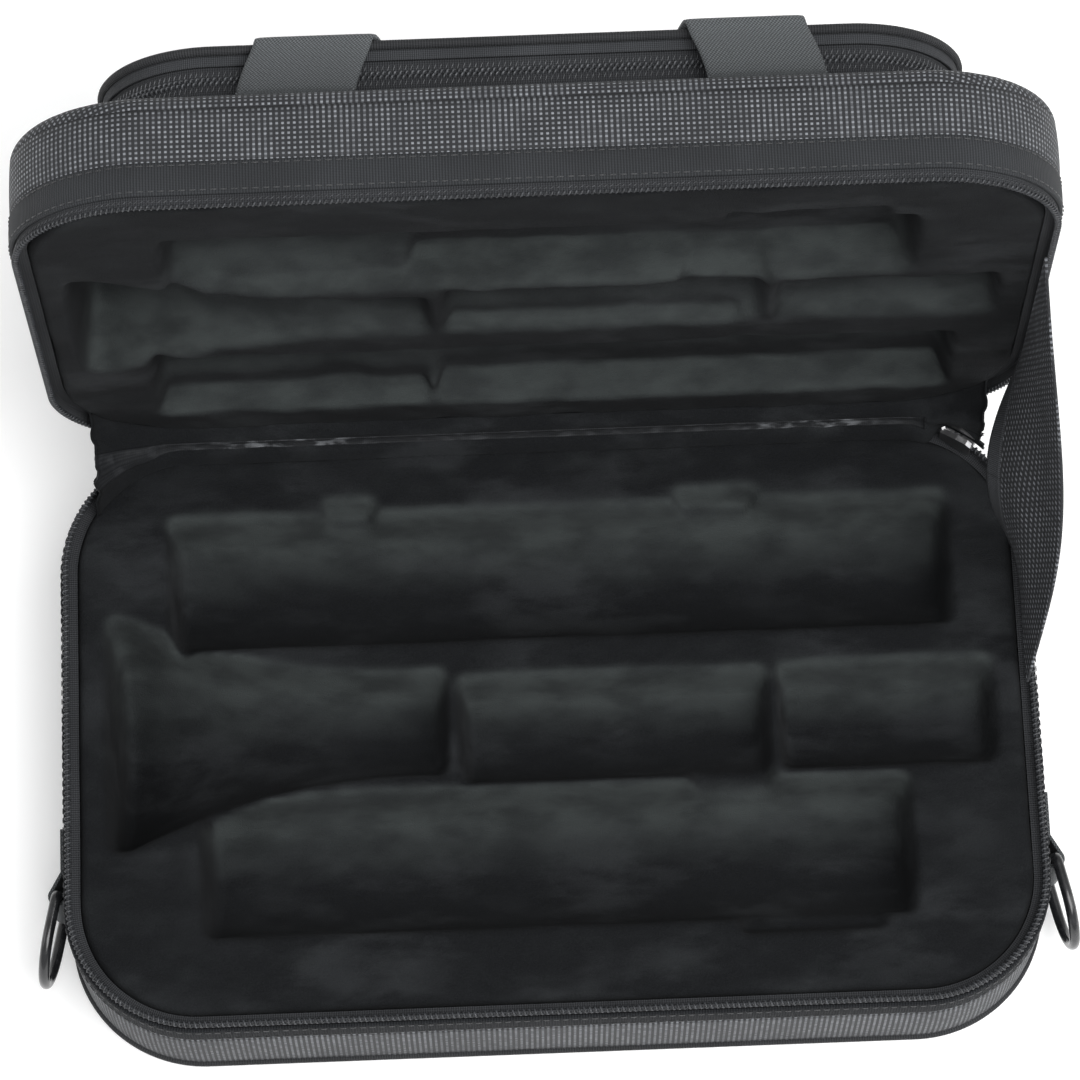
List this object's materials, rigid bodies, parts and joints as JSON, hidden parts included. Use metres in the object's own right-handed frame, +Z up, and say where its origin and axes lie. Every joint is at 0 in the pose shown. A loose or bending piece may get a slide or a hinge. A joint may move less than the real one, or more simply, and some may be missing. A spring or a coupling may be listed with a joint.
{
  "type": "clarinet case",
  "caption": "Soft-sided zip-round clarinet case lying open, with fitted plush wells, a hinged lid held by a cloth stay, a zip pocket, a carry handle and strap rings.",
  "frame": {"origin": "centre of the flat underside, which rests on the table", "axes": "+X to the right along the hinge, +Y to the hinge side at the back, +Z up"},
  "size_m": [0.3614, 0.2917, 0.2664],
  "materials": {
    "foam": "moulded closed-cell foam",
    "plush": "short black plush with soft pressed patches",
    "dotted_nylon": "black nylon with a woven grid of grey dots",
    "plain_nylon": "plain ribbed nylon",
    "trim_webbing": "plain fine-ribbed trim band",
    "handle_webbing": "grey-black flat-woven webbing",
    "piping": "black cord piping",
    "zip_tape": "woven zip tape",
    "zip_coil": "black nylon coil, slightly shiny",
    "hinge_tape": "shiny woven tape",
    "zip_metal": "plated die-cast zip metal, worn at the edges",
    "ring_metal": "black enamelled steel wire",
    "grip": "padded nylon sleeve"
  },
  "bodies": {
    "base": {"base_foam_tray": "foam", "base_lining": "plush", "base_floor_cover": "plain_nylon", "base_wall_cover": "dotted_nylon", "base_bottom_piping": "piping", "base_zip_band": "trim_webbing", "base_zip_tape": "zip_tape", "base_zip_teeth": "zip_coil", "zip_end_stops": "zip_metal", "left_ring_tab": "trim_webbing", "right_ring_tab": "trim_webbing", "hinge_strip": "plain_nylon", "inner_hinge_tape": "hinge_tape", "lid_stay": "dotted_nylon"},
    "lid": {"lid_foam_shell": "foam", "lid_lining": "plush", "lid_panel_cover": "dotted_nylon", "lid_wall_cover": "dotted_nylon", "lid_zip_band": "trim_webbing", "lid_zip_tape": "zip_tape", "lid_zip_teeth": "zip_coil", "pocket_wall": "plain_nylon", "pocket_panel": "dotted_nylon", "pocket_piping": "piping", "pocket_zip_tapes": "zip_tape", "pocket_zip_teeth": "zip_coil", "pocket_zip_stops": "zip_metal", "handle_anchors": "handle_webbing"},
    "handle": {"handle_webbing": "handle_webbing", "handle_grip": "grip"},
    "left_slider": {"left_zip_slider": "zip_metal"},
    "left_pull": {"left_zip_pull": "zip_metal"},
    "right_slider": {"right_zip_slider": "zip_metal"},
    "right_pull": {"right_zip_pull": "zip_metal"},
    "pocket_slider": {"pocket_zip_slider": "zip_metal"},
    "pocket_pull": {"pocket_zip_pull": "zip_metal"},
    "left_ring": {"left_strap_ring": "ring_metal"},
    "right_ring": {"right_strap_ring": "ring_metal"}
  },
  "joints": [
    {"name": "lid_hinge", "type": "hinge", "parent": "base", "child": "lid", "pos_m": [0, 0.106, 0.054], "axis": [1, 0, 0], "range_deg": [0, 90], "deforming": ["hinge_strip", "inner_hinge_tape", "lid_stay"]},
    {"name": "handle_swing", "type": "hinge", "parent": "lid", "child": "handle", "pos_m": [0, 0.1485, 0.256], "axis": [1, 0, 0], "range_deg": [0, 95]},
    {"name": "left_slider_travel", "type": "hinge", "parent": "base", "child": "left_slider", "pos_m": [-0.1235, 0.06, 0.054], "axis": [0, 0, 1], "range_deg": [0, 45]},
    {"name": "left_pull_swing", "type": "hinge", "parent": "left_slider", "child": "left_pull", "pos_m": [-0.14975, 0.10042, 0.054], "axis": [0.8387, 0.5446, 0], "range_deg": [0, 75]},
    {"name": "left_ring_swing", "type": "hinge", "parent": "base", "child": "left_ring", "pos_m": [-0.173, -0.053, 0.024], "axis": [0, 0, -1], "range_deg": [-11, 130]},
    {"name": "right_slider_travel", "type": "hinge", "parent": "base", "child": "right_slider", "pos_m": [0.1235, 0.06, 0.054], "axis": [0, 0, -1], "range_deg": [0, 45]},
    {"name": "right_pull_swing", "type": "hinge", "parent": "right_slider", "child": "right_pull", "pos_m": [0.14975, 0.10042, 0.054], "axis": [0.8387, -0.5446, 0], "range_deg": [0, 75]},
    {"name": "right_ring_swing", "type": "hinge", "parent": "base", "child": "right_ring", "pos_m": [0.173, -0.053, 0.024], "axis": [0, 0, 1], "range_deg": [-11, 130]},
    {"name": "pocket_slider_travel", "type": "slide", "parent": "lid", "child": "pocket_slider", "axis": [0, 0, 1], "range_m": [0, 0.085]},
    {"name": "pocket_pull_swing", "type": "hinge", "parent": "pocket_slider", "child": "pocket_pull", "pos_m": [-0.1422, 0.1575, 0.1167], "axis": [0, 1, 0], "range_deg": [0, 160]}
  ]
}
